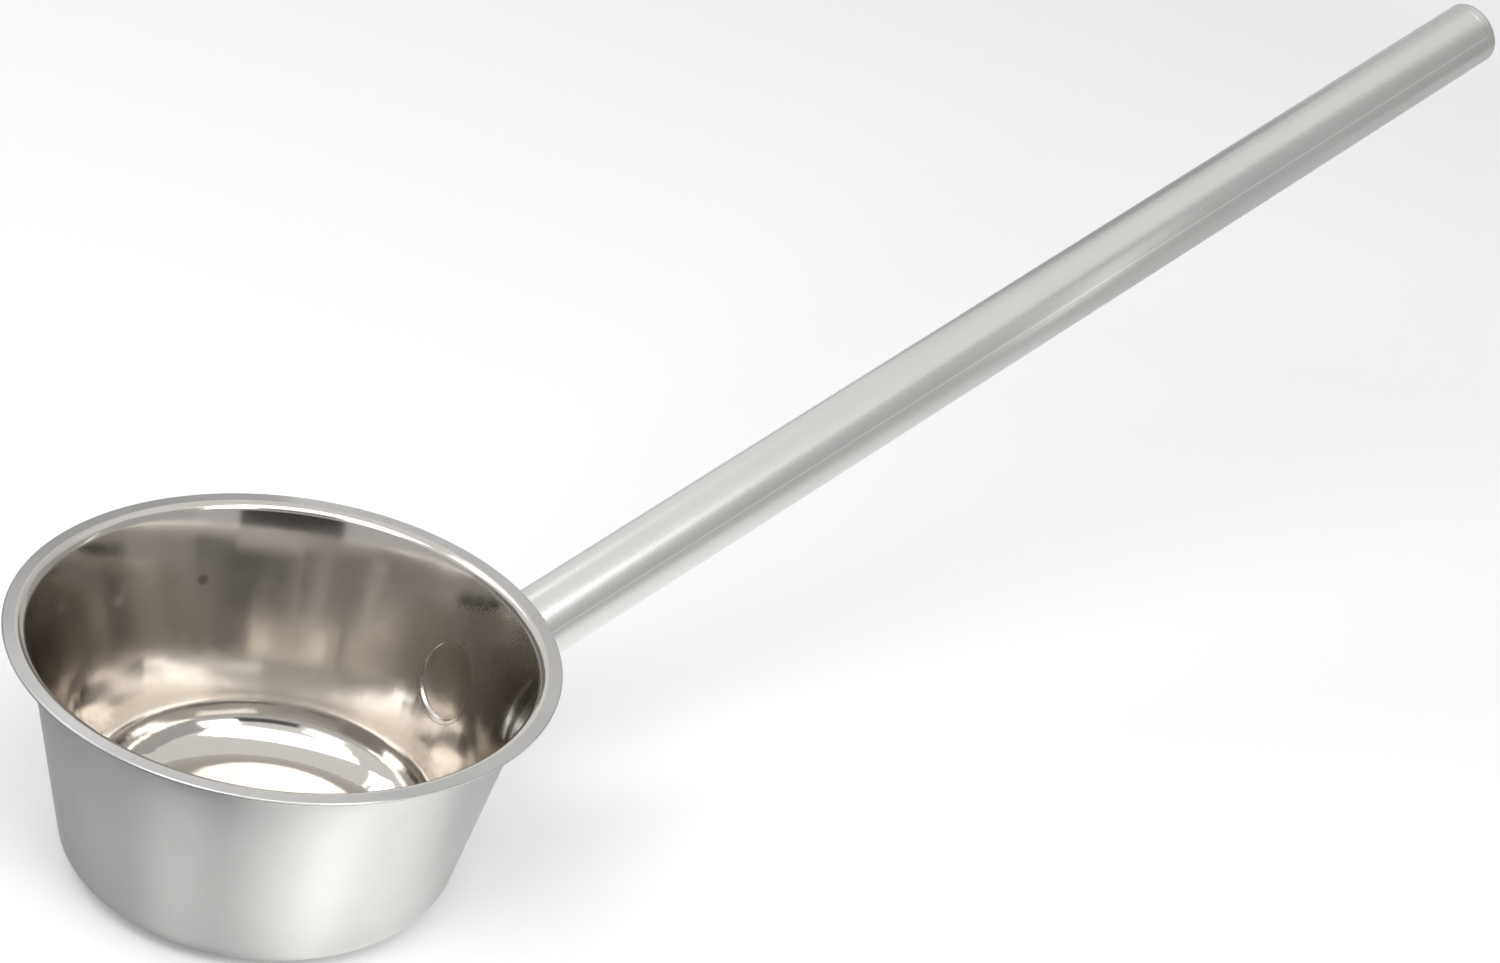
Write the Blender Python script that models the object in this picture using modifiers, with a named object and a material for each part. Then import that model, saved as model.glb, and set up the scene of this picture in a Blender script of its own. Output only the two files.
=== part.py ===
"""Water ladle of stainless steel: a spun bowl with a straight tube handle welded through its wall.

Metres, +Z up. The origin is the centre of the bowl's underside and the handle points along +X.
"""

import math

import bmesh
import bpy
from mathutils import Matrix, Vector

# Driving dimensions of the bowl
RIM_RADIUS = 0.0763
RIM_HEIGHT = 0.07184
RIM_BEND_RADIUS = 0.0032
FLARE_START = 0.056
FLARE_END_LEAN = math.radians(19.0)
FOOT_RADIUS = 0.05426
WALL_LEAN = math.radians(12.24)
BASE_CORNER_RADIUS = 0.0103
SHEET = 0.0009

# Driving dimensions of the handle
TUBE_RADIUS = 0.011
TUBE_WALL = 0.001
HANDLE_RISE = math.radians(18.67)
HANDLE_HEIGHT = 0.03927
HANDLE_LENGTH = 0.4521
CAP_HEIGHT = 0.004
CAP_END_THICKNESS = 0.0012
CAP_EDGE_RADIUS = 0.0014
PLUG_THICKNESS = 0.0012
PLUG_DENT = 0.0024
PLUG_DENT_ANGLE = math.radians(225.0)
PLUG_RINGS = 6
WELD_RADIUS = 0.0015

# Clearance between touching pieces, and how finely round shapes are divided
GAP = 0.0003
BOWL_STEPS = 96
TUBE_STEPS = 48
CORNER_POINTS = 8
FLARE_POINTS = 4
MERGE_DISTANCE = 0.00001

TUBE_BORE = TUBE_RADIUS - TUBE_WALL
INNER_FOOT = FOOT_RADIUS - SHEET / math.cos(WALL_LEAN)


def inner_wall_radius(height):
    """Radius of the bowl's inner wall at a height."""
    return INNER_FOOT + height * math.tan(WALL_LEAN)


def outer_wall_radius(height):
    """Radius of the bowl's outer wall at a height."""
    return FOOT_RADIUS + height * math.tan(WALL_LEAN)


HANDLE_ROOT = Vector((inner_wall_radius(HANDLE_HEIGHT), 0.0, HANDLE_HEIGHT))
HANDLE_AXIS = Vector((math.cos(HANDLE_RISE), 0.0, math.sin(HANDLE_RISE)))
HANDLE_ABOVE = Vector((-math.sin(HANDLE_RISE), 0.0, math.cos(HANDLE_RISE)))
HANDLE_SIDE = HANDLE_AXIS.cross(HANDLE_ABOVE)


def arc(centre, radius, start, end, points=CORNER_POINTS):
    """Points of an arc in the profile plane, angles measured from +X towards +Z."""
    angles = [start + (end - start) * i / points for i in range(points + 1)]
    return [(centre[0] + radius * math.cos(a), centre[1] + radius * math.sin(a)) for a in angles]


def start_scene():
    """Remove what is in the scene and make the collections for the parts and the cutters."""
    for old in list(bpy.data.objects):
        bpy.data.objects.remove(old, do_unlink=True)
    groups = []
    for name in ("water_ladle", "cutters"):
        group = bpy.data.collections.new(name)
        bpy.context.scene.collection.children.link(group)
        groups.append(group)
    return groups


def steel(name, colour, roughness):
    """A stainless steel material."""
    material = bpy.data.materials.new(name)
    material.use_nodes = True
    shader = material.node_tree.nodes["Principled BSDF"]
    shader.inputs["Base Color"].default_value = (*colour, 1.0)
    shader.inputs["Metallic"].default_value = 1.0
    shader.inputs["Roughness"].default_value = roughness
    return material


def place(mesh, name, group, parent=None):
    """Put a mesh in the scene as a named object."""
    piece = bpy.data.objects.new(name, mesh)
    group.objects.link(piece)
    piece.parent = parent
    return piece


def turned(name, profile, steps, group, parent=None, closed=False):
    """A solid turned about its own Z from a profile that runs down its outer side."""
    mesh = bpy.data.meshes.new(name)
    count = len(profile)
    edges = [(i, i + 1) for i in range(count - 1)]
    if closed:
        edges.append((count - 1, 0))
    mesh.from_pydata([(r, 0.0, z) for r, z in profile], edges, [])
    piece = place(mesh, name, group, parent)
    screw = piece.modifiers.new("turn", "SCREW")
    screw.steps = steps
    screw.render_steps = steps
    screw.use_merge_vertices = True
    screw.merge_threshold = MERGE_DISTANCE
    screw.use_smooth_shade = True
    return piece


def as_cutter(piece):
    """Mark an object as a cutter that isn't part of the ladle."""
    piece.hide_render = True
    piece.display_type = "WIRE"
    return piece


def cut(piece, cutter):
    """Cut a piece with a Boolean modifier."""
    boolean = piece.modifiers.new(cutter.name, "BOOLEAN")
    boolean.operation = "DIFFERENCE"
    boolean.object = cutter
    boolean.solver = "EXACT"


def handle_frame(group):
    """An empty at the handle's root, with its Z along the handle."""
    empty = bpy.data.objects.new("handle_frame", None)
    group.objects.link(empty)
    turn = Matrix((HANDLE_ABOVE, HANDLE_SIDE, HANDLE_AXIS)).transposed()
    empty.matrix_world = Matrix.Translation(HANDLE_ROOT) @ turn.to_4x4()
    return empty


def upper_wall(offset):
    """Section from the straight wall over a soft flare and the bend to the flange, moved out by offset."""
    bend_rise = RIM_BEND_RADIUS * (1.0 - math.sin(FLARE_END_LEAN))
    turn = math.sin(FLARE_END_LEAN) - math.sin(WALL_LEAN)
    flare_radius = (RIM_HEIGHT - bend_rise - FLARE_START) / turn
    flare_x = inner_wall_radius(FLARE_START) + flare_radius * math.cos(WALL_LEAN)
    flare_z = FLARE_START - flare_radius * math.sin(WALL_LEAN)
    end_x = flare_x - flare_radius * math.cos(FLARE_END_LEAN)
    bend = (end_x + RIM_BEND_RADIUS * math.cos(FLARE_END_LEAN), RIM_HEIGHT - RIM_BEND_RADIUS)
    end = math.pi - FLARE_END_LEAN
    points = arc((flare_x, flare_z), flare_radius - offset, math.pi - WALL_LEAN, end, FLARE_POINTS)
    return points + arc(bend, RIM_BEND_RADIUS - offset, end, math.pi / 2)[1:]


def bowl_profile():
    """Section of the bowl: inner floor, inner wall, flange, rounded edge, outer wall and base."""
    corner_x = outer_wall_radius(BASE_CORNER_RADIUS) - BASE_CORNER_RADIUS / math.cos(WALL_LEAN)
    corner = (corner_x, BASE_CORNER_RADIUS)
    edge_radius = SHEET / 2
    edge = (RIM_RADIUS - edge_radius, RIM_HEIGHT - edge_radius)
    down, up = -math.pi / 2, math.pi / 2
    inner = arc(corner, BASE_CORNER_RADIUS - SHEET, down, -WALL_LEAN) + upper_wall(0.0)
    rim_edge = arc(edge, edge_radius, up, down)
    outer = upper_wall(SHEET)[::-1] + arc(corner, BASE_CORNER_RADIUS, -WALL_LEAN, down)
    return [(0.0, SHEET)] + inner + rim_edge + outer + [(0.0, 0.0)]


def make_bowl(parts, cutters, frame):
    """The bowl, with the round hole in its wall that the handle goes through."""
    bowl = turned("bowl", bowl_profile(), BOWL_STEPS, parts)
    bowl.data.materials.append(steel("bowl_steel", (0.62, 0.60, 0.58), 0.12))
    reach = 2 * TUBE_RADIUS
    radius = TUBE_RADIUS + GAP
    profile = [(0.0, reach), (radius, reach), (radius, -reach), (0.0, -reach)]
    cut(bowl, as_cutter(turned("handle_hole", profile, TUBE_STEPS, cutters, frame)))


def bowl_space(cutters):
    """The space inside the bowl's wall, which trims the end of the tube."""
    top, bottom = 2 * HANDLE_HEIGHT, SHEET
    profile = [
        (0.0, top),
        (inner_wall_radius(top), top),
        (inner_wall_radius(bottom), bottom),
        (0.0, bottom),
    ]
    return as_cutter(turned("bowl_space", profile, BOWL_STEPS, cutters))


def make_tube(parts, cutters, frame):
    """The handle tube, its lower end trimmed flush with the inside of the bowl."""
    start = -2 * TUBE_RADIUS
    end = HANDLE_LENGTH - CAP_HEIGHT - GAP
    profile = [(TUBE_BORE, end), (TUBE_RADIUS, end), (TUBE_RADIUS, start), (TUBE_BORE, start)]
    tube = turned("handle_tube", profile, TUBE_STEPS, parts, frame, closed=True)
    tube.data.materials.append(steel("tube_steel", (0.66, 0.65, 0.63), 0.3))
    cut(tube, bowl_space(cutters))


def around_handle(angle):
    """Direction square to the handle at an angle from its upper side."""
    return HANDLE_ABOVE * math.cos(angle) + HANDLE_SIDE * math.sin(angle)


def along_handle(foot, radius_at):
    """The point from foot along the handle that lies on the surface with that radius at each height."""
    low, high = -3 * TUBE_RADIUS, 3 * TUBE_RADIUS
    while high - low > MERGE_DISTANCE:
        middle = (low + high) / 2
        point = foot + HANDLE_AXIS * middle
        if math.hypot(point.x, point.y) > radius_at(point.z):
            high = middle
        else:
            low = middle
    return foot + HANDLE_AXIS * (low + high) / 2


def plug_point(angle, reach):
    """Point on the plug's face: on the bowl's inner wall, and dented on its lower far side."""
    on_wall = along_handle(HANDLE_ROOT + around_handle(angle) * reach, inner_wall_radius)
    across = max(0.0, reach / TUBE_BORE * math.cos(angle - PLUG_DENT_ANGLE))
    return on_wall + HANDLE_AXIS * (PLUG_DENT * across ** 2)


def plug_side(shape, shift):
    """One face of the plug as rings of points, moved along the handle; gives its outer ring."""
    turns = [2 * math.pi * i / TUBE_STEPS for i in range(TUBE_STEPS)]
    offset = HANDLE_AXIS * shift
    inner = [shape.verts.new(plug_point(0.0, 0.0) + offset)] * TUBE_STEPS
    for k in range(1, PLUG_RINGS + 1):
        reach = (TUBE_BORE - GAP) * k / PLUG_RINGS
        outer = [shape.verts.new(plug_point(turn, reach) + offset) for turn in turns]
        for i in range(TUBE_STEPS):
            corners = [inner[i - 1], outer[i - 1], outer[i], inner[i]]
            shape.faces.new(list(dict.fromkeys(corners)))
        inner = outer
    return inner


def make_plug(parts):
    """The plate that closes the tube's lower end, flush with the bowl's wall but for a dent."""
    shape = bmesh.new()
    front = plug_side(shape, 0.0)
    back = plug_side(shape, PLUG_THICKNESS)
    for i in range(TUBE_STEPS):
        shape.faces.new((front[i - 1], front[i], back[i], back[i - 1]))
    bmesh.ops.recalc_face_normals(shape, faces=shape.faces)
    mesh = bpy.data.meshes.new("tube_plug")
    shape.to_mesh(mesh)
    shape.free()
    place(mesh, "tube_plug", parts).data.materials.append(steel("plug_steel", (0.60, 0.58, 0.56), 0.15))


def make_cap(parts, frame):
    """The pressed cap that closes the tube's far end, with a rounded edge."""
    base = HANDLE_LENGTH - CAP_HEIGHT
    inside = HANDLE_LENGTH - CAP_END_THICKNESS
    edge = (TUBE_RADIUS - CAP_EDGE_RADIUS, HANDLE_LENGTH - CAP_EDGE_RADIUS)
    profile = [(0.0, HANDLE_LENGTH)]
    profile += arc(edge, CAP_EDGE_RADIUS, math.pi / 2, 0.0)
    profile += [(TUBE_RADIUS, base), (TUBE_BORE, base), (TUBE_BORE, inside), (0.0, inside)]
    cap = turned("handle_end_cap", profile, TUBE_STEPS, parts, frame)
    cap.data.materials.append(steel("cap_steel", (0.64, 0.63, 0.61), 0.3))


def weld_point(angle):
    """Centre of the weld bead beside the tube, where it clears the tube and the wall alike."""
    stand_off = WELD_RADIUS + GAP
    foot = HANDLE_ROOT + around_handle(angle) * (TUBE_RADIUS + stand_off)
    return along_handle(foot, lambda z: outer_wall_radius(z) + stand_off / math.cos(WALL_LEAN))


def make_weld(parts):
    """The bead of weld round the tube, on the outside of the bowl."""
    curve = bpy.data.curves.new("weld_bead", "CURVE")
    curve.dimensions = "3D"
    curve.bevel_depth = WELD_RADIUS
    curve.bevel_resolution = 2
    spline = curve.splines.new("POLY")
    spline.points.add(TUBE_STEPS - 1)
    spline.use_cyclic_u = True
    for i, point in enumerate(spline.points):
        point.co = (*weld_point(2 * math.pi * i / TUBE_STEPS), 1.0)
    place(curve, "weld_bead", parts).data.materials.append(steel("weld_steel", (0.55, 0.53, 0.51), 0.35))


def main():
    """Build the ladle."""
    parts, cutters = start_scene()
    frame = handle_frame(parts)
    make_bowl(parts, cutters, frame)
    make_tube(parts, cutters, frame)
    make_plug(parts)
    make_cap(parts, frame)
    make_weld(parts)


main()
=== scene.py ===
"""Looks of the stainless steel water ladle: turned shells, polished and satin steel, studio and camera."""

import math

import bmesh
import bpy
from mathutils import Matrix, Vector


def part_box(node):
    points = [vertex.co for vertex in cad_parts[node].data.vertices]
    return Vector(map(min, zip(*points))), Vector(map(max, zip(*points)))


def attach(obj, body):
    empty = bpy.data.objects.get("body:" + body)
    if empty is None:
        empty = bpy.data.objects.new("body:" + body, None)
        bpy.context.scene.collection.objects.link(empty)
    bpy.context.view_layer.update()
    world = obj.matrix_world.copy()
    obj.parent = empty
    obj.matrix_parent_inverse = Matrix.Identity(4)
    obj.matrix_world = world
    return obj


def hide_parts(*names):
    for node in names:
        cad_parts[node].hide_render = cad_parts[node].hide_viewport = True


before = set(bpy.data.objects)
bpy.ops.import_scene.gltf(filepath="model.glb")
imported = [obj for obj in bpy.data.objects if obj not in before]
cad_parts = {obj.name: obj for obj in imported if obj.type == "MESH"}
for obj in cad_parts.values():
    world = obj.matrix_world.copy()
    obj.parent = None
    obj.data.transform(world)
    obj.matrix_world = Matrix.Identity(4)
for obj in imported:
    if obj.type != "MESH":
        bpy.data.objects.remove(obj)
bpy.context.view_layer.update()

# Sizes and small marks of the ladle in metres, the rim's own read from the frame
RIM_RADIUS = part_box("bowl")[1][1]
RIM_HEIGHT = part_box("bowl")[1][2]
RIM_BEND_RADIUS = 0.0032
FLARE_START = 0.056
FLARE_END_LEAN = math.radians(19.0)
FOOT_RADIUS = 0.05426
WALL_LEAN = math.radians(12.24)
INNER_LEAN = math.radians(13.3)
BASE_CORNER_RADIUS = 0.0103
INNER_CORNER_RADIUS = 0.017
SHEET = 0.0009
TUBE_RADIUS = 0.011
TUBE_WALL = 0.001
TUBE_SEAM_ANGLE = math.radians(65.5)
TUBE_SEAM_WIDTH = 0.0003
TUBE_SEAM_STRENGTH = 0.8
HANDLE_RISE = math.radians(18.67)
HANDLE_HEIGHT = 0.03927
HANDLE_LENGTH = 0.45209
CAP_HEIGHT = 0.004
CAP_END_THICKNESS = 0.0012
CAP_EDGE_RADIUS = 0.0014
PLUG_THICKNESS = 0.0012
PLUG_SLANT = 0.0010
PLUG_SLANT_ANGLE = math.radians(210.0)
WELD_LEG = 0.0024
SEAM_DEPTH = 0.00012
WATER_MARK = (0.018, 0.062, 0.050)
WATER_MARK_RADIUS = 0.0021
WATER_MARK_STRENGTH = 0.6
WELD_PIT = (0.065, -0.001, 0.052)
WELD_PIT_RADIUS = 0.0005
WELD_PIT_STRENGTH = 1.0
HOLE_CLEARANCE = 0.00006

# How finely round shapes are divided
BOWL_STEPS = 288
TUBE_STEPS = 128
PLUG_RINGS = 24
ARC_STEPS = 16
WALL_STEPS = 24
FLANGE_STEPS = 6
FLOOR_STEPS = 20
SHARP_ANGLE = math.radians(40.0)
MERGE_DISTANCE = 0.000001

# The photograph's camera: where it stands about the rim's centre, its lens and the pixel of that centre
PHOTO_WIDTH = 1500
PHOTO_HEIGHT = 963
CAMERA_DISTANCE = 0.97219
CAMERA_ELEVATION = math.radians(32.7674)
CAMERA_AZIMUTH = math.radians(-130.1936)
CAMERA_ROLL = math.radians(-8.1413)
FOCAL_PIXELS = 3531.38
RIM_CENTRE_PIXEL = (286.2425, 640.0616)
RIM_CENTRE_HEIGHT = 0.07129
SENSOR_WIDTH = 36.0

# Colours of each steel, the second that of its faint stains
INSIDE_STEEL = ((0.585, 0.555, 0.52), (0.545, 0.515, 0.48))
RIM_STEEL = ((0.59, 0.585, 0.575), (0.51, 0.505, 0.495))
# The rim's underside is painted dark: painted shade for the dark line under the flange's edge, not the
# steel's own colour
RIM_BELOW_PAINTED_SHADE = ((0.22, 0.21, 0.20), (0.17, 0.16, 0.15))
OUTSIDE_STEEL = ((0.66, 0.655, 0.642), (0.62, 0.615, 0.602))
HANDLE_STEEL = ((0.635, 0.637, 0.618), (0.61, 0.612, 0.594))
PLUG_STEEL = ((0.56, 0.525, 0.485), (0.52, 0.485, 0.445))
WELD_STEEL = ((0.60, 0.57, 0.54), (0.50, 0.43, 0.36))
MARK_COLOUR = (0.20, 0.15, 0.11, 1.0)
SEAM_COLOUR = (0.84, 0.84, 0.82, 1.0)
PAPER = (0.92, 0.92, 0.92, 1.0)
WHITE = (1.0, 1.0, 1.0, 1.0)
BLACK = (0.0, 0.0, 0.0, 1.0)

# Finish of the handle: how rough it is and how far brushing stretches its highlights
HANDLE_ROUGHNESS = 0.28
HANDLE_STRETCH = 0.3

# The studio in metres: the floor, and the disc that the steel mirrors in its place
FLOOR_HALF_SIZE = 6.0
FLOOR_DROP = 0.0005
MIRRORED_RADIUS = 0.8
MIRRORED_DROP = 0.0002

# Glow of the floor for the camera, near the ladle where lamps light it and far out where they do not
LAMPLIT_REACH = 0.9
UNLIT_REACH = 2.2
GLOW_NEAR = 0.17
GLOW_FAR = 0.6

# Light on the mirrored floor: directions in degrees to the right of the camera, and levels
POOL_BESIDE = 35.0
POOL_LEVEL = 3.3
BRIGHT_BESIDE = 105.0
BRIGHT_LEVEL = 0.6
OPEN_FLOOR_LEVEL = 0.66

# The white world: its light on matt surfaces, and its level where it is seen or mirrored
WORLD_LIGHT = 0.45
WORLD_SEEN = 1.0
GLOSSY_BOUNCES = 12

TUBE_BORE = TUBE_RADIUS - TUBE_WALL
ROOT_RADIUS = FOOT_RADIUS - SHEET / math.cos(WALL_LEAN) + HANDLE_HEIGHT * math.tan(WALL_LEAN)


def inner_wall_radius(height):
    """Radius of the bowl's inner wall at a height; the wall is drawn thinner towards the rim."""
    return ROOT_RADIUS + (height - HANDLE_HEIGHT) * math.tan(INNER_LEAN)


def outer_wall_radius(height):
    """Radius of the bowl's outer wall at a height."""
    return FOOT_RADIUS + height * math.tan(WALL_LEAN)


HANDLE_ROOT = Vector((inner_wall_radius(HANDLE_HEIGHT), 0.0, HANDLE_HEIGHT))
HANDLE_AXIS = Vector((math.cos(HANDLE_RISE), 0.0, math.sin(HANDLE_RISE)))
HANDLE_ABOVE = Vector((-math.sin(HANDLE_RISE), 0.0, math.cos(HANDLE_RISE)))
HANDLE_SIDE = HANDLE_AXIS.cross(HANDLE_ABOVE)
HANDLE_TURN = Matrix((HANDLE_ABOVE, HANDLE_SIDE, HANDLE_AXIS)).transposed()
HANDLE_FRAME = Matrix.Translation(HANDLE_ROOT) @ HANDLE_TURN.to_4x4()


# Mesh tools

def arc(centre, radius, start, end, steps=ARC_STEPS):
    """Points of an arc in the profile plane, angles measured from +X towards +Z."""
    angles = [start + (end - start) * i / steps for i in range(steps + 1)]
    return [(centre[0] + radius * math.cos(a), centre[1] + radius * math.sin(a)) for a in angles]


def straight(start, end, steps):
    """Points between the ends of a straight stretch, which keep its smooth shading flat."""
    shares = [i / steps for i in range(1, steps)]
    return [(start[0] + (end[0] - start[0]) * t, start[1] + (end[1] - start[1]) * t) for t in shares]


def place(name, mesh, matrix=None):
    """Put a mesh in the scene as a named object."""
    if matrix is not None:
        mesh.transform(matrix)
    piece = bpy.data.objects.new(name, mesh)
    bpy.context.scene.collection.objects.link(piece)
    return piece


def finished_mesh(name, shape):
    """A mesh made from an edited shape, which it uses up."""
    mesh = bpy.data.meshes.new(name)
    shape.to_mesh(mesh)
    shape.free()
    return mesh


def shade(mesh):
    """Smooth shading with sharp edges kept."""
    mesh.shade_smooth()
    mesh.set_sharp_from_angle(angle=SHARP_ANGLE)


def turned(name, sections, steps, matrix=None, closed=False):
    """A solid turned about Z from profile sections, each of which is one material."""
    points = []
    zones = []
    for zone, section in enumerate(sections):
        for point in section:
            points.append(point)
            zones.append(zone)
    shape = bmesh.new()
    rings = []
    for r, z in points:
        if r < MERGE_DISTANCE:
            rings.append([shape.verts.new((0.0, 0.0, z))] * steps)
            continue
        turn = [2 * math.pi * i / steps for i in range(steps)]
        rings.append([shape.verts.new((r * math.cos(a), r * math.sin(a), z)) for a in turn])
    pairs = list(zip(range(len(rings) - 1), range(1, len(rings))))
    if closed:
        pairs.append((len(rings) - 1, 0))
    for first, second in pairs:
        for i in range(steps):
            j = (i + 1) % steps
            corners = [rings[first][i], rings[second][i], rings[second][j], rings[first][j]]
            face = shape.faces.new(list(dict.fromkeys(corners)))
            face.material_index = zones[second]
    mesh = finished_mesh(name, shape)
    shade(mesh)
    return place(name, mesh, matrix)


def grid_solid(name, rows):
    """A closed solid from rows of points, each row a closed loop, the first row joined to the last."""
    shape = bmesh.new()
    loops = [[shape.verts.new(p) for p in row] for row in rows]
    count = len(rows[0])
    for a in range(len(loops)):
        b = (a + 1) % len(loops)
        for i in range(count):
            j = (i + 1) % count
            shape.faces.new((loops[a][i], loops[a][j], loops[b][j], loops[b][i]))
    bmesh.ops.recalc_face_normals(shape, faces=shape.faces)
    mesh = finished_mesh(name, shape)
    shade(mesh)
    return place(name, mesh)


def cut(piece, cutter):
    """Cut a piece with another, bake the result into its mesh and remove the cutter."""
    boolean = piece.modifiers.new("cut", "BOOLEAN")
    boolean.operation = "DIFFERENCE"
    boolean.solver = "EXACT"
    boolean.object = cutter
    bpy.context.view_layer.update()
    graph = bpy.context.evaluated_depsgraph_get()
    mesh = bpy.data.meshes.new_from_object(piece.evaluated_get(graph))
    piece.modifiers.clear()
    old = piece.data
    piece.data = mesh
    mesh.name = piece.name
    bpy.data.meshes.remove(old)
    bpy.data.objects.remove(cutter, do_unlink=True)
    shade(mesh)


def along_handle(foot, radius_at):
    """The point from foot along the handle that lies on the surface with that radius at each height."""
    low = -3 * TUBE_RADIUS
    high = 3 * TUBE_RADIUS
    while high - low > MERGE_DISTANCE:
        middle = (low + high) / 2
        point = foot + HANDLE_AXIS * middle
        if math.hypot(point.x, point.y) > radius_at(point.z):
            high = middle
        else:
            low = middle
    return foot + HANDLE_AXIS * (low + high) / 2


def around_handle(angle):
    """Direction square to the handle at an angle from its upper side."""
    return HANDLE_ABOVE * math.cos(angle) + HANDLE_SIDE * math.sin(angle)


# Materials

class Nodes:
    """Short forms for building a material's node tree."""

    def __init__(self, name):
        self.material = bpy.data.materials.new(name)
        self.material.use_nodes = True
        self.tree = self.material.node_tree
        self.shader = self.tree.nodes["Principled BSDF"]

    def link(self, source, target):
        self.tree.links.new(source, target)

    def add(self, kind, **settings):
        node = self.tree.nodes.new(kind)
        for key, value in settings.items():
            setattr(node, key, value)
        return node

    def feed(self, socket, value):
        if hasattr(value, "is_linked"):
            self.link(value, socket)
        else:
            socket.default_value = value

    def math(self, operation, *values):
        node = self.add("ShaderNodeMath", operation=operation)
        for socket, value in zip(node.inputs, values):
            self.feed(socket, value)
        return node.outputs[0]

    def vector(self, operation, *values):
        node = self.add("ShaderNodeVectorMath", operation=operation)
        for socket, value in zip(node.inputs, values):
            self.feed(socket, value)
        return node.outputs[0]

    def position(self):
        return self.add("ShaderNodeTexCoord").outputs["Object"]

    def flat(self, place_at, scale=1.0):
        """The level part of a position, scaled."""
        return self.vector("MULTIPLY", place_at, (scale, scale, 0.0))

    def height(self, place_at):
        node = self.add("ShaderNodeSeparateXYZ")
        self.link(place_at, node.inputs[0])
        return node.outputs["Z"]

    def length(self, vector):
        node = self.add("ShaderNodeVectorMath", operation="LENGTH")
        self.link(vector, node.inputs[0])
        return node.outputs["Value"]

    def noise(self, vector, scale=1.0, detail=3.0, roughness=0.6):
        node = self.add("ShaderNodeTexNoise")
        self.link(vector, node.inputs["Vector"])
        node.inputs["Scale"].default_value = scale
        node.inputs["Detail"].default_value = detail
        node.inputs["Roughness"].default_value = roughness
        return node.outputs["Fac"]

    def ramp(self, value, low, high, first, last):
        """A value from low to high turned into one from first to last, held at both ends."""
        node = self.add("ShaderNodeMapRange", clamp=True)
        self.link(value, node.inputs["Value"])
        for name, number in (("From Min", low), ("From Max", high), ("To Min", first), ("To Max", last)):
            node.inputs[name].default_value = number
        return node.outputs["Result"]

    def mix(self, factor, first, second):
        node = self.add("ShaderNodeMix", data_type="RGBA")
        self.feed(node.inputs[0], factor)
        self.feed(node.inputs[6], first)
        self.feed(node.inputs[7], second)
        return node.outputs[2]

    def facing(self, direction, beside):
        """How far a direction points towards one beside the camera, as a cosine."""
        node = self.add("ShaderNodeVectorMath", operation="DOT_PRODUCT")
        self.link(direction, node.inputs[0])
        node.inputs[1].default_value = studio_direction(beside, 0.0)
        return node.outputs["Value"]

    def spot(self, place_at, centre, radius, strength):
        """A soft round mark of that strength at a point."""
        node = self.add("ShaderNodeVectorMath", operation="DISTANCE")
        self.link(place_at, node.inputs[0])
        node.inputs[1].default_value = centre
        return self.ramp(node.outputs["Value"], radius / 2, radius, strength, 0.0)

    def bump(self, height, strength, distance):
        node = self.add("ShaderNodeBump")
        self.link(height, node.inputs["Height"])
        node.inputs["Strength"].default_value = strength
        node.inputs["Distance"].default_value = distance
        return node.outputs["Normal"]

    def brush(self, tangent, amount):
        """Stretch highlights across brushing lines that run along the tangent."""
        quarter_turn = 0.25
        self.link(tangent, self.shader.inputs["Tangent"])
        self.shader.inputs["Anisotropic"].default_value = amount
        self.shader.inputs["Anisotropic Rotation"].default_value = quarter_turn

    def glow(self, strength):
        """White light of that strength from the surface."""
        self.shader.inputs["Emission Color"].default_value = WHITE
        self.feed(self.shader.inputs["Emission Strength"], strength)

    def finish(self, colour, roughness, normal):
        """Bare metal with these three parts painted over it."""
        self.shader.inputs["Metallic"].default_value = 1.0
        self.link(colour, self.shader.inputs["Base Color"])
        self.link(roughness, self.shader.inputs["Roughness"])
        self.link(normal, self.shader.inputs["Normal"])
        return self.material


def polished_steel(name, colours, roughness):
    """Polished inside of the bowl: faint upright draw marks, soft stains and two small marks."""
    colour, stain = colours
    n = Nodes(name)
    marks_round = 9.0
    marks_up = 6.0
    place_at = n.position()
    direction = n.vector("NORMALIZE", n.flat(place_at))
    upright = n.vector("MULTIPLY", place_at, (0.0, 0.0, marks_up))
    streak_place = n.vector("ADD", n.flat(direction, marks_round), upright)
    streaks = n.noise(streak_place, detail=1.5)
    blotch = n.noise(place_at, scale=38.0)
    tint = n.mix(n.ramp(blotch, 0.35, 0.7, 0.0, 1.0), (*colour, 1.0), (*stain, 1.0))
    water_mark = n.spot(place_at, WATER_MARK, WATER_MARK_RADIUS, WATER_MARK_STRENGTH)
    weld_pit = n.spot(place_at, WELD_PIT, WELD_PIT_RADIUS, WELD_PIT_STRENGTH)
    for mark in (water_mark, weld_pit):
        tint = n.mix(mark, tint, MARK_COLOUR)
    worn = n.ramp(n.noise(place_at, scale=90.0), 0.3, 0.7, roughness * 0.8, roughness * 1.3)
    floor_share = n.ramp(n.height(place_at), SHEET, INNER_CORNER_RADIUS, 0.5, 1.0)
    rough = n.math("MULTIPLY", worn, floor_share)
    wave = n.bump(streaks, strength=0.12, distance=0.0006)
    return n.finish(tint, rough, wave)


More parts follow.
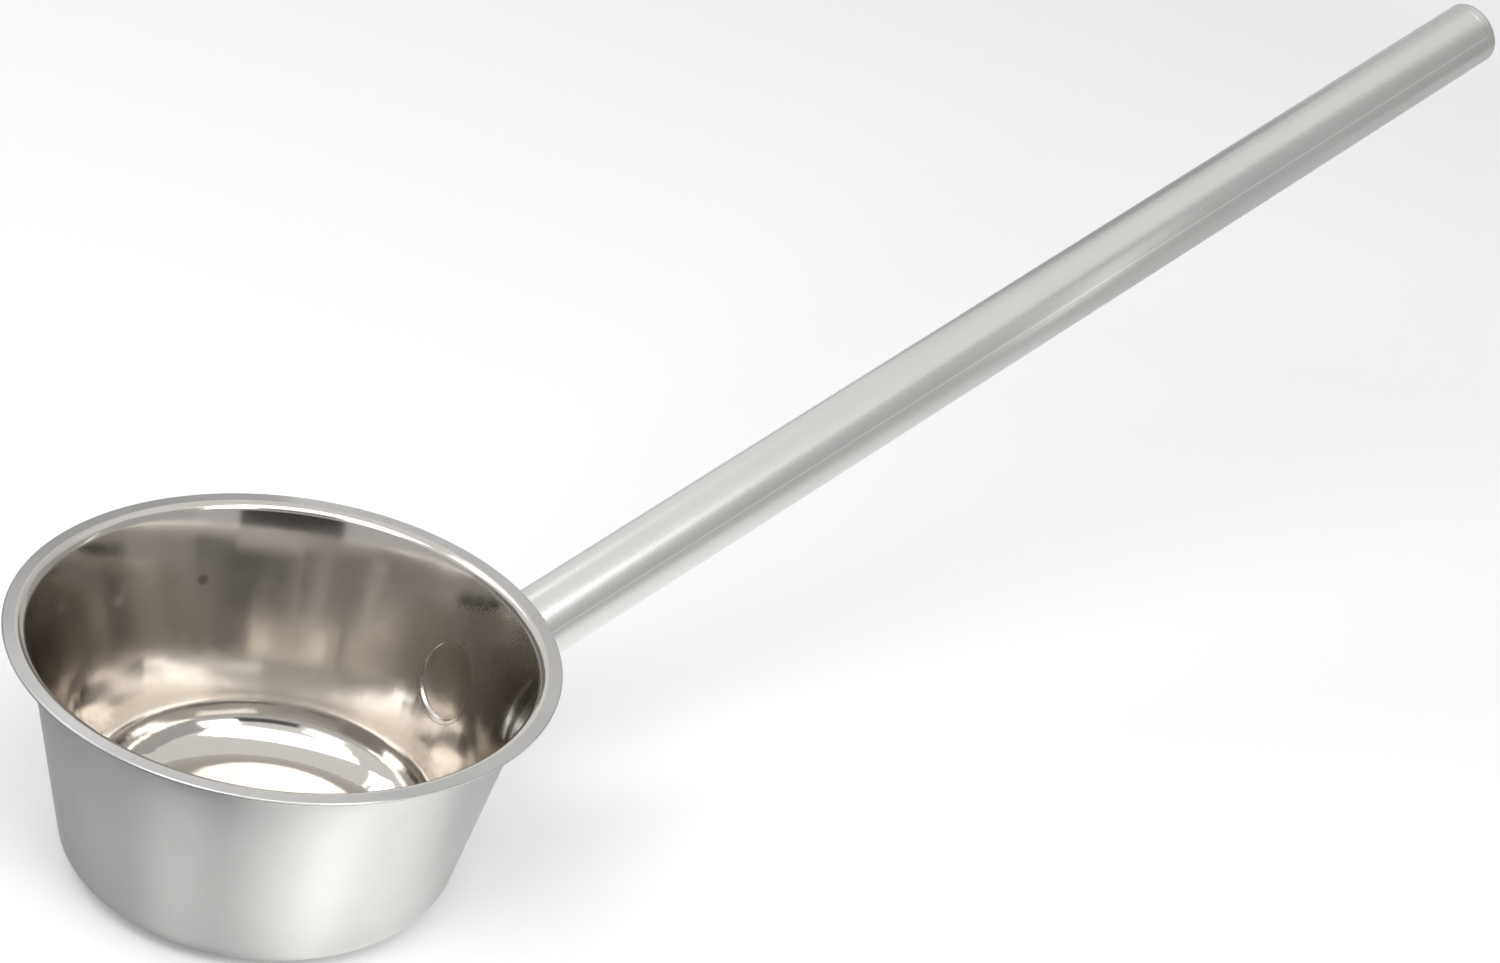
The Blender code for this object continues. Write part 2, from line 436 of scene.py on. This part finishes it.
def satin_steel(name, colours, brushing, roughness, stretch):
    """Satin steel with fine polishing lines; brushing gives their coordinates, direction and any seam."""
    colour, stain = colours
    n = Nodes(name)
    place_at = n.position()
    grain, tangent, seam = brushing(n, place_at)
    lines = n.noise(grain, detail=5.0, roughness=0.7)
    blotch = n.noise(place_at, scale=30.0)
    line_share = 0.3
    blotch_share = 0.7
    by_line = n.math("MULTIPLY", lines, line_share)
    by_blotch = n.math("MULTIPLY", blotch, blotch_share)
    shade_of = n.math("ADD", by_line, by_blotch)
    tint = n.mix(n.ramp(shade_of, 0.35, 0.65, 0.0, 1.0), (*stain, 1.0), (*colour, 1.0))
    if seam is not None:
        tint = n.mix(seam, tint, SEAM_COLOUR)
    rough = n.ramp(lines, 0.3, 0.7, roughness * 0.92, roughness * 1.08)
    scratch = n.bump(lines, strength=0.04, distance=0.0001)
    n.brush(tangent, stretch)
    return n.finish(tint, rough, scratch)


def round_the_bowl(n, place_at):
    """Lines that run round the bowl."""
    lines_across = 2600.0
    lines_along = 9.0
    flat = n.flat(place_at)
    along_profile = n.math("ADD", n.length(flat), n.height(place_at))
    across = n.math("MULTIPLY", along_profile, lines_across)
    join = n.add("ShaderNodeCombineXYZ")
    n.link(across, join.inputs["Z"])
    grain = n.vector("ADD", n.flat(flat, lines_along), join.outputs[0])
    tangent = n.add("ShaderNodeTangent", direction_type="RADIAL", axis="Z")
    return grain, tangent.outputs[0], None


def handle_place(n, place_at):
    """Coordinates in the handle's own frame: above it, beside it and along it."""
    mapping = n.add("ShaderNodeMapping", vector_type="TEXTURE")
    n.link(place_at, mapping.inputs["Vector"])
    mapping.inputs["Location"].default_value = HANDLE_ROOT
    mapping.inputs["Rotation"].default_value = HANDLE_TURN.to_euler()
    return mapping.outputs["Vector"]


def along_the_handle(n, place_at):
    """Lines that run along the handle."""
    lines_across = 1500.0
    lines_along = 7.0
    spacing = (lines_across, lines_across, lines_along)
    grain = n.vector("MULTIPLY", handle_place(n, place_at), spacing)
    tangent = n.add("ShaderNodeCombineXYZ")
    for socket, part in zip(tangent.inputs, HANDLE_AXIS):
        socket.default_value = part
    return grain, tangent.outputs[0], None


def along_the_tube(n, place_at):
    """Lines that run along the tube, and the thin line of its ground weld seam."""
    grain, tangent, _ = along_the_handle(n, place_at)
    section = n.flat(handle_place(n, place_at))
    seam_at = (TUBE_RADIUS * math.cos(TUBE_SEAM_ANGLE), TUBE_RADIUS * math.sin(TUBE_SEAM_ANGLE), 0.0)
    return grain, tangent, n.spot(section, seam_at, TUBE_SEAM_WIDTH, TUBE_SEAM_STRENGTH)


def weld_steel(name):
    """Brushed weld with a faint heat tint."""
    colour, heated = WELD_STEEL
    n = Nodes(name)
    place_at = n.position()
    tint_noise = n.noise(place_at, scale=160.0)
    tint = n.mix(n.ramp(tint_noise, 0.3, 0.7, 0.0, 1.0), (*colour, 1.0), (*heated, 1.0))
    fine = n.noise(place_at, scale=1400.0, detail=4.0)
    rough = n.ramp(fine, 0.3, 0.7, 0.28, 0.42)
    pores = n.bump(fine, strength=0.25, distance=0.0001)
    return n.finish(tint, rough, pores)


# Pieces of the ladle

def upper_wall(start_radius, lean, offset):
    """Section from the straight wall over a soft flare and the bend to the flange, moved out by offset."""
    bend_rise = RIM_BEND_RADIUS * (1.0 - math.sin(FLARE_END_LEAN))
    turn = math.sin(FLARE_END_LEAN) - math.sin(lean)
    flare_radius = (RIM_HEIGHT - bend_rise - FLARE_START) / turn
    flare_x = start_radius + flare_radius * math.cos(lean)
    flare_z = FLARE_START - flare_radius * math.sin(lean)
    end_x = flare_x - flare_radius * math.cos(FLARE_END_LEAN)
    bend = (end_x + RIM_BEND_RADIUS * math.cos(FLARE_END_LEAN), RIM_HEIGHT - RIM_BEND_RADIUS)
    end = math.pi - FLARE_END_LEAN
    points = arc((flare_x, flare_z), flare_radius - offset, math.pi - lean, end)
    return points + arc(bend, RIM_BEND_RADIUS - offset, end, math.pi / 2)[1:]


def base_corner(wall_radius, lean, radius, floor):
    """Arc from the floor at that height up to the wall, whose radius at each height is a function."""
    height = floor + radius
    centre = (wall_radius(height) - radius / math.cos(lean), height)
    return arc(centre, radius, -math.pi / 2, -lean)


def bowl_sections():
    """Profile of the bowl: polished inside, satin rim, the rim's underside darkened with painted shade,
    satin outside.
    """
    edge_radius = SHEET / 2
    edge = (RIM_RADIUS - edge_radius, RIM_HEIGHT - edge_radius)
    inner_corner = base_corner(inner_wall_radius, INNER_LEAN, INNER_CORNER_RADIUS, SHEET)
    outer_corner = base_corner(outer_wall_radius, WALL_LEAN, BASE_CORNER_RADIUS, 0.0)[::-1]
    inner_top = upper_wall(inner_wall_radius(FLARE_START), INNER_LEAN, 0.0)
    outer_start = outer_wall_radius(FLARE_START) - SHEET / math.cos(WALL_LEAN)
    outer_top = upper_wall(outer_start, WALL_LEAN, SHEET)[::-1]
    edge_top = arc(edge, edge_radius, math.pi / 2, 0.0)
    edge_below = arc(edge, edge_radius, 0.0, -math.pi / 2)[1:]
    inside = [(0.0, SHEET)] + straight((0.0, SHEET), inner_corner[0], FLOOR_STEPS) + inner_corner
    inside += straight(inner_corner[-1], inner_top[0], WALL_STEPS) + inner_top
    rim = straight(inner_top[-1], edge_top[0], FLANGE_STEPS) + edge_top
    below = edge_below + straight(edge_below[-1], outer_top[0], FLANGE_STEPS)
    outside = outer_top + straight(outer_top[-1], outer_corner[0], WALL_STEPS)
    outside += outer_corner + [(0.0, 0.0)]
    return [inside, rim, below, outside]


def make_bowl():
    """The bowl, with the hole that the handle goes through."""
    bowl = turned("bowl_shell", bowl_sections(), BOWL_STEPS)
    finishes = [
        polished_steel("bowl_inside", INSIDE_STEEL, roughness=0.12),
        satin_steel("bowl_rim", RIM_STEEL, round_the_bowl, roughness=0.30, stretch=0.85),
        # The rim's underside, darkened with painted shade
        satin_steel("bowl_rim_below_painted_shade", RIM_BELOW_PAINTED_SHADE, round_the_bowl, roughness=0.45, stretch=0.5),
        satin_steel("bowl_outside", OUTSIDE_STEEL, round_the_bowl, roughness=0.6, stretch=1.0),
    ]
    for finish in finishes:
        bowl.data.materials.append(finish)
    reach = 2 * TUBE_RADIUS
    radius = TUBE_RADIUS + HOLE_CLEARANCE
    profile = [(0.0, reach), (radius, reach), (radius, -reach), (0.0, -reach)]
    lowered = HANDLE_FRAME @ Matrix.Translation((-HOLE_CLEARANCE, 0.0, 0.0))
    cut(bowl, turned("handle_hole", [profile], TUBE_STEPS, lowered))
    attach(bowl, "root")
    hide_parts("bowl")


def make_tube():
    """The handle tube, trimmed to the inside of the bowl."""
    start = -2 * TUBE_RADIUS
    end = HANDLE_LENGTH - CAP_HEIGHT
    seam = TUBE_RADIUS - SEAM_DEPTH
    profile = [
        (TUBE_BORE, end), (seam, end), (TUBE_RADIUS, end - SEAM_DEPTH),
        (TUBE_RADIUS, start), (TUBE_BORE, start),
    ]
    tube = turned("handle_tube_satin", [profile], TUBE_STEPS, HANDLE_FRAME, closed=True)
    satin = satin_steel("handle_steel", HANDLE_STEEL, along_the_tube, HANDLE_ROUGHNESS, HANDLE_STRETCH)
    tube.data.materials.append(satin)
    top = 2 * HANDLE_HEIGHT
    bottom = SHEET
    space = [
        (0.0, top), (inner_wall_radius(top), top),
        (inner_wall_radius(bottom), bottom), (0.0, bottom),
    ]
    cut(tube, turned("bowl_space", [space], BOWL_STEPS))
    tube.data.materials.append(bpy.data.materials["bowl_inside"])
    for face in tube.data.polygons:
        reach = math.hypot(face.center.x, face.center.y)
        if abs(reach - inner_wall_radius(face.center.z)) < SEAM_DEPTH:
            face.material_index = 1
    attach(tube, "root")
    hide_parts("handle_tube")


def make_cap():
    """The pressed cap at the handle's far end, with a rounded edge and a ground seam."""
    base = HANDLE_LENGTH - CAP_HEIGHT
    inside = HANDLE_LENGTH - CAP_END_THICKNESS
    edge = (TUBE_RADIUS - CAP_EDGE_RADIUS, HANDLE_LENGTH - CAP_EDGE_RADIUS)
    profile = [(0.0, HANDLE_LENGTH)] + arc(edge, CAP_EDGE_RADIUS, math.pi / 2, 0.0)
    profile += [(TUBE_RADIUS, base + SEAM_DEPTH), (TUBE_RADIUS - SEAM_DEPTH, base), (TUBE_BORE, base)]
    profile += [(TUBE_BORE, inside), (0.0, inside)]
    cap = turned("handle_cap_satin", [profile], TUBE_STEPS, HANDLE_FRAME)
    satin = satin_steel("cap_steel_satin", HANDLE_STEEL, along_the_handle, HANDLE_ROUGHNESS, HANDLE_STRETCH)
    cap.data.materials.append(satin)
    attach(cap, "root")
    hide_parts("handle_end_cap")


def plug_point(angle, reach):
    """Point on the plug's face: it follows the bowl's inner wall and slants in on its lower far side."""
    on_wall = along_handle(HANDLE_ROOT + around_handle(angle) * reach, inner_wall_radius)
    across = reach / TUBE_BORE * math.cos(angle - PLUG_SLANT_ANGLE)
    return on_wall + HANDLE_AXIS * (PLUG_SLANT * (1.0 + across) / 2)


def plug_side(shape, shift):
    """One face of the plug as rings of points, moved along the handle; gives its outer ring."""
    turns = [2 * math.pi * i / TUBE_STEPS for i in range(TUBE_STEPS)]
    offset = HANDLE_AXIS * shift
    inner = [shape.verts.new(plug_point(0.0, 0.0) + offset)] * TUBE_STEPS
    for k in range(1, PLUG_RINGS + 1):
        reach = TUBE_BORE * k / PLUG_RINGS
        outer = [shape.verts.new(plug_point(turn, reach) + offset) for turn in turns]
        for i in range(TUBE_STEPS):
            corners = [inner[i - 1], outer[i - 1], outer[i], inner[i]]
            shape.faces.new(list(dict.fromkeys(corners)))
        inner = outer
    return inner


def make_plug():
    """The plate that closes the tube's lower end, set a little askew."""
    shape = bmesh.new()
    front = plug_side(shape, 0.0)
    back = plug_side(shape, PLUG_THICKNESS)
    for i in range(TUBE_STEPS):
        shape.faces.new((front[i - 1], front[i], back[i], back[i - 1]))
    bmesh.ops.recalc_face_normals(shape, faces=shape.faces)
    mesh = finished_mesh("tube_plug_plate", shape)
    shade(mesh)
    plug = place("tube_plug_plate", mesh)
    plug.data.materials.append(polished_steel("plug_polished", PLUG_STEEL, roughness=0.15))
    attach(plug, "root")
    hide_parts("tube_plug")


def make_weld():
    """The fillet weld round the tube, with the ripples that welding leaves."""
    around = 384
    across = 10
    ripples = 64
    ripple_height = 0.00012
    bulge = 0.00035
    rows = []
    for i in range(around):
        angle = 2 * math.pi * i / around
        out = around_handle(angle)
        root = along_handle(HANDLE_ROOT + out * TUBE_RADIUS, outer_wall_radius)
        normal = Vector((root.x, root.y, 0.0)).normalized() * math.cos(WALL_LEAN)
        normal.z = -math.sin(WALL_LEAN)
        climb = out - normal * out.dot(normal)
        on_tube = root + HANDLE_AXIS * WELD_LEG
        on_wall = root + climb.normalized() * WELD_LEG
        wave = ripple_height * abs(math.sin(ripples * angle / 2))
        row = [root]
        for k in range(across + 1):
            t = k / across
            face = on_tube.lerp(on_wall, t)
            swell = (bulge + wave) * math.sin(math.pi * t)
            row.append(face + (out + HANDLE_AXIS).normalized() * swell)
        rows.append(row)
    weld = grid_solid("weld_fillet", rows)
    weld.data.materials.append(weld_steel("weld_brushed"))
    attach(weld, "root")
    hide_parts("weld_bead")


# Studio

def matte(name, colour):
    """A matt paint or paper."""
    n = Nodes(name)
    n.shader.inputs["Base Color"].default_value = colour
    n.shader.inputs["Roughness"].default_value = 0.9
    n.shader.inputs["Specular IOR Level"].default_value = 0.0
    return n


def mirror_only(piece):
    """Let only mirror rays see a piece of the studio."""
    piece.visible_camera = False
    piece.visible_diffuse = False
    piece.visible_shadow = False


def make_floor():
    """A pale floor that runs out of view, keeps the shadow and is clear from below."""
    shape = bmesh.new()
    bmesh.ops.create_grid(shape, x_segments=1, y_segments=1, size=FLOOR_HALF_SIZE)
    mesh = finished_mesh("floor", shape)
    floor = place("floor", mesh, Matrix.Translation((0.0, 0.0, -FLOOR_DROP)))
    n = matte("floor_paper", PAPER)
    seen = n.add("ShaderNodeLightPath").outputs["Is Camera Ray"]
    fill = n.ramp(n.length(n.position()), LAMPLIT_REACH, UNLIT_REACH, GLOW_NEAR, GLOW_FAR)
    n.glow(n.math("MULTIPLY", seen, fill))
    sides = n.add("ShaderNodeMixShader")
    n.link(n.add("ShaderNodeNewGeometry").outputs["Backfacing"], sides.inputs[0])
    n.link(n.shader.outputs[0], sides.inputs[1])
    n.link(n.add("ShaderNodeBsdfTransparent").outputs[0], sides.inputs[2])
    n.link(sides.outputs[0], n.tree.nodes["Material Output"].inputs["Surface"])
    floor.data.materials.append(n.material)


def make_reflected_floor():
    """Painted reflection of the floor, a glowing disc that only the steel sees: a pool of light by the
    bowl, a bright side, grey beyond and painted shade under the foot.
    """
    shape = bmesh.new()
    bmesh.ops.create_circle(shape, cap_ends=True, segments=64, radius=MIRRORED_RADIUS)
    mesh = finished_mesh("reflected_floor", shape)
    disc = place("reflected_floor", mesh, Matrix.Translation((0.0, 0.0, -MIRRORED_DROP)))
    n = matte("reflected_floor", BLACK)
    flat = n.flat(n.position())
    direction = n.vector("NORMALIZE", flat)
    away = n.length(flat)
    pool = n.ramp(n.facing(direction, POOL_BESIDE), 0.64, 1.0, 0.0, POOL_LEVEL)
    from_foot = n.ramp(away, 0.06, 0.17, 0.45, 1.0)
    to_edge = n.ramp(away, 0.2, 0.32, 1.0, 0.0)
    near_pool = n.math("MULTIPLY", pool, n.math("MULTIPLY", from_foot, to_edge))
    side = n.ramp(n.facing(direction, BRIGHT_BESIDE), 0.0, 0.8, 0.0, 1.0)
    near_side = n.math("MULTIPLY", side, n.ramp(away, 0.15, 0.5, BRIGHT_LEVEL, 0.0))
    open_floor = n.math("ADD", n.math("ADD", near_pool, near_side), OPEN_FLOOR_LEVEL)
    # Painted shade under the foot, which darkens the bowl's lower edge in the reflection
    painted_foot_shade = n.ramp(away, 0.05, 0.075, 0.3, 1.0)
    n.glow(n.math("MULTIPLY", open_floor, painted_foot_shade))
    disc.data.materials.append(n.material)
    mirror_only(disc)


def studio_direction(beside, above):
    """Direction from the bowl, in degrees to the right of the camera and above the floor."""
    around = CAMERA_AZIMUTH + math.radians(beside)
    rise = math.radians(above)
    return Vector((math.cos(rise) * math.cos(around), math.cos(rise) * math.sin(around), math.sin(rise)))


def make_surround(name, distance, beside, above, tone):
    """A curved screen that glows at a set tone, seen only by the steel as a painted reflection, between
    angles beside the camera and above the floor.
    """
    columns = 96
    shape = bmesh.new()
    rows = []
    for rise in above:
        height = distance * math.tan(math.radians(rise))
        row = []
        for i in range(columns + 1):
            turn = CAMERA_AZIMUTH + math.radians(beside[0] + (beside[1] - beside[0]) * i / columns)
            row.append(shape.verts.new((distance * math.cos(turn), distance * math.sin(turn), height)))
        rows.append(row)
    for i in range(columns):
        shape.faces.new((rows[0][i + 1], rows[0][i], rows[1][i], rows[1][i + 1]))
    screen = place(name, finished_mesh(name, shape))
    n = matte(name, BLACK)
    n.glow(tone)
    n.material.cycles.emission_sampling = "NONE"
    screen.data.materials.append(n.material)
    mirror_only(screen)


def make_world():
    """A white world, dimmer for the light that it sheds than where it is seen or mirrored."""
    world = bpy.data.worlds.new("studio")
    world.use_nodes = True
    bpy.context.scene.world = world
    tree = world.node_tree
    background = tree.nodes["Background"]
    background.inputs["Color"].default_value = WHITE
    path = tree.nodes.new("ShaderNodeLightPath")
    seen = path.outputs["Is Camera Ray"]
    for name in ("Is Glossy Ray", "Is Transmission Ray"):
        either = tree.nodes.new("ShaderNodeMath")
        either.operation = "MAXIMUM"
        tree.links.new(seen, either.inputs[0])
        tree.links.new(path.outputs[name], either.inputs[1])
        seen = either.outputs[0]
    level = tree.nodes.new("ShaderNodeMapRange")
    level.inputs["To Min"].default_value = WORLD_LIGHT
    level.inputs["To Max"].default_value = WORLD_SEEN
    tree.links.new(seen, level.inputs["Value"])
    tree.links.new(level.outputs["Result"], background.inputs["Strength"])


def make_softbox(name, beside, above, distance, width, height, radiance):
    """An area light that faces the bowl, with its brightness as seen."""
    light = bpy.data.lights.new(name, "AREA")
    light.shape = "RECTANGLE"
    light.size = width
    light.size_y = height
    light.energy = radiance * math.pi * width * height
    lamp = bpy.data.objects.new(name, light)
    bpy.context.scene.collection.objects.link(lamp)
    away = studio_direction(beside, above)
    lamp.location = away * distance
    lamp.rotation_euler = away.to_track_quat("Z", "Y").to_euler()


def make_camera():
    """The camera where the photograph was taken from."""
    data = bpy.data.cameras.new("camera")
    data.sensor_fit = "HORIZONTAL"
    data.sensor_width = SENSOR_WIDTH
    data.lens = FOCAL_PIXELS / PHOTO_WIDTH * SENSOR_WIDTH
    data.clip_start = 0.01
    camera = bpy.data.objects.new("camera", data)
    bpy.context.scene.collection.objects.link(camera)
    away = Vector((
        math.cos(CAMERA_ELEVATION) * math.cos(CAMERA_AZIMUTH),
        math.cos(CAMERA_ELEVATION) * math.sin(CAMERA_AZIMUTH),
        math.sin(CAMERA_ELEVATION),
    ))
    right = Vector((0.0, 0.0, 1.0)).cross(away).normalized()
    up = away.cross(right)
    rolled_right = right * math.cos(CAMERA_ROLL) - up * math.sin(CAMERA_ROLL)
    rolled_up = right * math.sin(CAMERA_ROLL) + up * math.cos(CAMERA_ROLL)
    aim = Matrix((rolled_right, rolled_up, away)).transposed()
    across = (RIM_CENTRE_PIXEL[0] - PHOTO_WIDTH / 2) / FOCAL_PIXELS
    drop = (RIM_CENTRE_PIXEL[1] - PHOTO_HEIGHT / 2) / FOCAL_PIXELS
    seen_at = Vector((across, -drop, -1.0)).normalized()
    swing = Vector((0.0, 0.0, -1.0)).rotation_difference(seen_at).to_matrix()
    place_at = Vector((0.0, 0.0, RIM_CENTRE_HEIGHT)) + away * CAMERA_DISTANCE
    camera.matrix_world = Matrix.Translation(place_at) @ (aim @ swing.transposed()).to_4x4()
    bpy.context.scene.camera = camera


make_bowl()
make_tube()
make_cap()
make_plug()
make_weld()
make_floor()
make_reflected_floor()
make_world()
# Painted reflections, glowing screens that only the steel sees, dark ones and one bright strip: metres
# away, degrees beside the camera, degrees above the floor, tone
make_surround("dark_side", 0.8, (50.0, 109.0), (0.0, 53.0), 0.57)
make_surround("back_right", 1.0, (103.0, 150.0), (0.0, 34.0), 0.49)
make_surround("back_gap", 1.0, (150.0, 164.0), (0.0, 34.0), 0.7)
make_surround("back_middle", 1.0, (164.0, 178.0), (0.0, 31.0), 0.41)
make_surround("back_high", 1.0, (109.0, 180.0), (34.0, 46.0), 0.8)
make_surround("back", 0.2, (182.0, 250.0), (22.0, 40.0), 0.24)
make_surround("back_left", 1.0, (238.0, 275.0), (0.0, 34.0), 0.41)
make_surround("light_strip", 0.45, (104.0, 108.0), (12.0, 36.0), 1.5)
make_surround("left", 1.0, (275.0, 410.0), (0.0, 34.0), 0.66)
make_surround("dark_low", 0.99, (-19.0, 28.0), (2.0, 20.0), 0.075)
make_surround("dark_high", 1.5, (-16.0, 26.0), (19.0, 41.0), 0.12)
# Lamps: degrees beside the camera and above the floor, metres away, width, height and brightness
make_softbox("left_light", -35.0, 43.0, 1.6, 0.56, 0.28, 4.2)
make_softbox("right_light", 37.0, 42.0, 1.6, 0.6, 0.28, 4.0)
make_softbox("back_light", 235.0, 53.0, 1.6, 1.2, 0.4, 1.7)
make_softbox("top_light", -8.0, 66.0, 1.6, 2.0, 0.7, 3.0)
make_camera()
bpy.context.scene.view_settings.view_transform = "Standard"
# The polished bowl mirrors itself many times over before the light leaves it
bpy.context.scene.cycles.glossy_bounces = GLOSSY_BOUNCES
